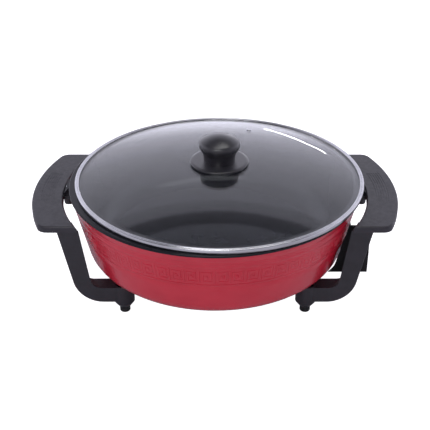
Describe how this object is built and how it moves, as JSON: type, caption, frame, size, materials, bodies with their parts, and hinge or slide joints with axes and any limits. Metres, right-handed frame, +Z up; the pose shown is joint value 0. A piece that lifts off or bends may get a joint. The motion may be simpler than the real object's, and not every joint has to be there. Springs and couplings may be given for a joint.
{
  "type": "electric griddle",
  "caption": "Round electric griddle pan with relief-patterned wall, non-stick inside, domed glass lid with knob, two side handles with legs, rubber feet and a guarded probe socket.",
  "frame": {"origin": "on the table under the middle of the pan", "axes": "+Z up, +X towards the probe socket side, handles at -X and +X"},
  "size_m": [0.456, 0.3638, 0.2006],
  "materials": {
    "nonstick_black": "grey-black non-stick coat over cast aluminium",
    "red_enamel": "gloss wine-red coat over a relief pattern",
    "element_sheath": "dull satin",
    "fastener_steel": "zinc plated",
    "cast_aluminium": "as cast",
    "ceramic": "unglazed ceramic",
    "pin_metal": "nickel plated",
    "guard_black": "matt black",
    "handle_plastic": "fine textured satin black",
    "foot_rubber": "matt",
    "lid_glass": "clear tempered",
    "rim_steel": "polished",
    "knob_plastic": "satin top, gloss edge",
    "brass": "machined"
  },
  "bodies": {
    "base": {"pan_body": "nonstick_black", "outer_shell": "red_enamel", "heating_element": "element_sheath", "bottom_plate": "element_sheath", "bottom_plate_screws": "fastener_steel", "leg_screws": "fastener_steel", "leg_washers": "fastener_steel", "lug_screw_left": "fastener_steel", "lug_screw_right": "fastener_steel", "handle_screws_left": "fastener_steel", "handle_screws_right": "fastener_steel", "guard_screws": "fastener_steel", "socket_block": "cast_aluminium", "terminal_insulators": "ceramic", "terminal_pins": "pin_metal", "probe_guard": "guard_black", "handle_cover_left": "handle_plastic", "handle_cover_right": "handle_plastic", "leg_frame_left": "handle_plastic", "leg_frame_right": "handle_plastic", "front_left_foot": "foot_rubber", "rear_left_foot": "foot_rubber", "front_right_foot": "foot_rubber", "rear_right_foot": "foot_rubber"},
    "lid": {"lid_glass": "lid_glass", "lid_rim": "rim_steel", "vent_eyelet": "rim_steel", "knob_base": "knob_plastic", "knob_grip": "knob_plastic", "knob_insert": "brass", "knob_gaskets": "foot_rubber", "knob_washer": "fastener_steel", "knob_screw": "fastener_steel"}
  },
  "joints": [
    {"name": "lid_lift", "type": "slide", "parent": "base", "child": "lid", "axis": [0, 0, 1], "range_m": [0, 0.16]}
  ]
}
